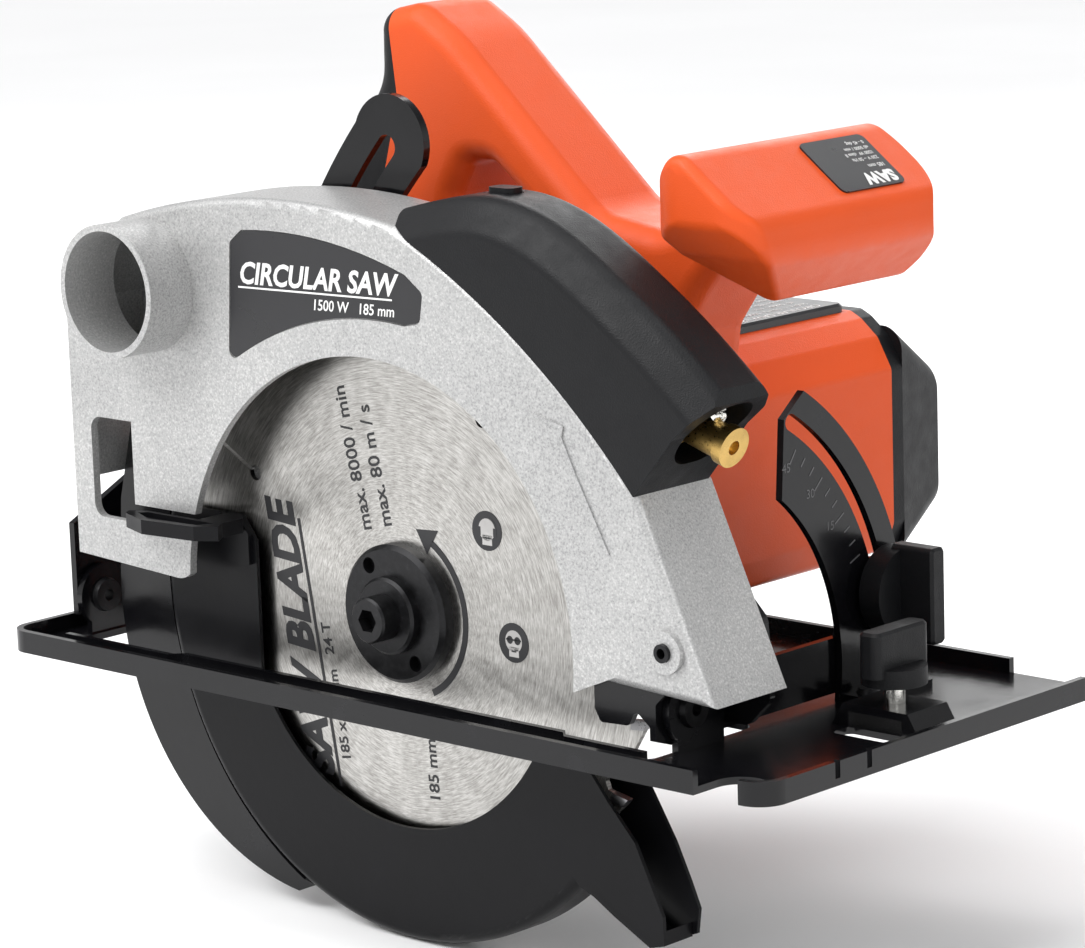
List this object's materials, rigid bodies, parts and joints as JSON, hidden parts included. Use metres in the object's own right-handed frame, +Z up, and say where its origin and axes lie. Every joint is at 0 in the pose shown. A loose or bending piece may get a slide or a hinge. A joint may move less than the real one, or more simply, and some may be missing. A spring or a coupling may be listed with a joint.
{
  "type": "circular saw",
  "caption": "Hand-held circular saw with a bevelling shoe, swinging lower guard, riving knife, laser line unit and transverse motor.",
  "frame": {"origin": "underside of the shoe, straight below the spindle, in the middle of the blade's thickness", "axes": "+X is the cutting direction, +Y runs from the blade to the motor end, +Z is up"},
  "size_m": [0.295, 0.203, 0.2591],
  "materials": {
    "black_gloss_steel": "gloss black enamel",
    "black_lower_guard": "satin black paint",
    "black_fittings": "black oxide",
    "cast_alloy": "sand-textured silver paint over a casting",
    "blade_steel": "circular brushing",
    "carbide": "ground carbide",
    "shaft_steel": "machined",
    "zinc_screw": "bright zinc",
    "core_steel": "laminations",
    "copper": "enamelled copper",
    "brass": "turned brass",
    "carbon": "pressed carbon",
    "orange_plastic": "fine satin grain",
    "black_plastic": "fine grain",
    "label_film": "printed film",
    "gland_rubber": "soft"
  },
  "bodies": {
    "shoe": {"base_plate": "black_gloss_steel", "bevel_quadrant": "black_gloss_steel", "shoe_rivets": "black_fittings"},
    "fence_clamp": {"fence_screw": "zinc_screw", "fence_knob": "black_plastic"},
    "tilt_frame": {"tilt_bracket": "black_gloss_steel", "depth_link": "black_gloss_steel", "depth_pivot_pin": "black_fittings", "bevel_stud": "black_fittings", "bevel_washer": "black_fittings"},
    "bevel_clamp": {"bevel_knob": "black_plastic"},
    "saw_body": {"upper_guard": "cast_alloy", "guard_label": "label_film", "riving_knife": "black_gloss_steel", "knife_screws": "black_fittings", "gear_housing": "cast_alloy", "bearing_plate": "cast_alloy", "bearings": "shaft_steel", "stator": "core_steel", "brush_holders": "brass", "carbon_brushes": "carbon", "motor_housing": "orange_plastic", "motor_end_cap": "black_plastic", "motor_label": "label_film", "handle_near": "orange_plastic", "handle_far": "orange_plastic", "handle_rear_cover": "black_plastic", "cord_gland": "gland_rubber", "body_screws": "black_fittings", "switch_unit": "black_plastic", "front_grip_near": "orange_plastic", "front_grip_far": "orange_plastic", "grip_label": "label_film", "laser_housing": "black_plastic", "laser_module": "brass", "guard_retainer": "black_fittings", "guard_spring": "shaft_steel", "depth_bolt": "black_fittings"},
    "blade_set": {"blade": "blade_steel", "carbide_tips": "carbide", "inner_flange": "black_fittings", "outer_flange": "black_fittings", "blade_bolt": "black_fittings", "spindle": "shaft_steel", "spindle_gear": "shaft_steel"},
    "layshaft_set": {"layshaft": "shaft_steel", "lay_gear": "shaft_steel"},
    "armature": {"armature_shaft": "shaft_steel", "armature_core": "core_steel", "windings": "copper", "commutator": "copper", "cooling_fan": "black_plastic"},
    "swing_guard": {"lower_guard": "black_lower_guard", "guard_lever": "black_lower_guard"},
    "trigger_body": {"trigger": "black_plastic"},
    "lock_off": {"lock_off_button": "black_plastic"},
    "laser_button": {"laser_switch": "black_plastic"},
    "depth_clamp": {"depth_lever": "black_plastic"},
    "spindle_lock": {"spindle_lock_button": "black_plastic"}
  },
  "joints": [
    {"name": "bevel_tilt", "type": "hinge", "parent": "shoe", "child": "tilt_frame", "pos_m": [0.104, 0, 0.013], "axis": [1, 0, 0], "range_deg": [0, 45]},
    {"name": "depth_swing", "type": "hinge", "parent": "tilt_frame", "child": "saw_body", "pos_m": [0.111, 0, 0.032], "axis": [0, 1, 0], "range_deg": [0, 32]},
    {"name": "bevel_knob_turn", "type": "hinge", "parent": "tilt_frame", "child": "bevel_clamp", "pos_m": [0.114, 0.08006, 0.03075], "axis": [1, 0, 0], "continuous": true},
    {"name": "fence_knob_turn", "type": "hinge", "parent": "shoe", "child": "fence_clamp", "pos_m": [0.134, 0.05, 0.02], "axis": [0, 0, 1], "continuous": true},
    {"name": "blade_spin", "type": "hinge", "parent": "saw_body", "child": "blade_set", "pos_m": [0, 0, 0.025], "axis": [0, 1, 0], "continuous": true},
    {"name": "layshaft_spin", "type": "hinge", "parent": "saw_body", "child": "layshaft_set", "pos_m": [0.00834, 0.03, 0.04857], "axis": [0, 1, 0], "continuous": true},
    {"name": "armature_spin", "type": "hinge", "parent": "saw_body", "child": "armature", "pos_m": [0.02, 0.09, 0.058], "axis": [0, 1, 0], "continuous": true},
    {"name": "guard_swing", "type": "hinge", "parent": "saw_body", "child": "swing_guard", "pos_m": [0, 0.008, 0.025], "axis": [0, 1, 0], "range_deg": [0, 118], "stiffness_Nm_per_rad": 0.15, "springref_deg": -45.84},
    {"name": "trigger_pull", "type": "slide", "parent": "saw_body", "child": "trigger_body", "axis": [0.6069, 0, 0.7948], "range_m": [0, 0.004], "stiffness_N_per_m": 600, "springref_m": -0.002},
    {"name": "lock_off_press", "type": "slide", "parent": "saw_body", "child": "lock_off", "axis": [0, -1, 0], "range_m": [0, 0.003], "stiffness_N_per_m": 400, "springref_m": -0.001},
    {"name": "laser_press", "type": "slide", "parent": "saw_body", "child": "laser_button", "axis": [0, 0, -1], "range_m": [0, 0.001], "stiffness_N_per_m": 400, "springref_m": -0.001},
    {"name": "depth_lever_turn", "type": "hinge", "parent": "saw_body", "child": "depth_clamp", "pos_m": [-0.06282, 0.025, 0.06265], "axis": [0, 1, 0], "range_deg": [0, 55]},
    {"name": "spindle_lock_press", "type": "slide", "parent": "saw_body", "child": "spindle_lock", "axis": [-1, 0, 0], "range_m": [0, 0.0015], "stiffness_N_per_m": 500, "springref_m": -0.001}
  ],
  "couplings": [
    {"joint": "layshaft_spin", "follows": "blade_spin", "ratio": -2.5714},
    {"joint": "armature_spin", "follows": "blade_spin", "ratio": 5.1429}
  ]
}
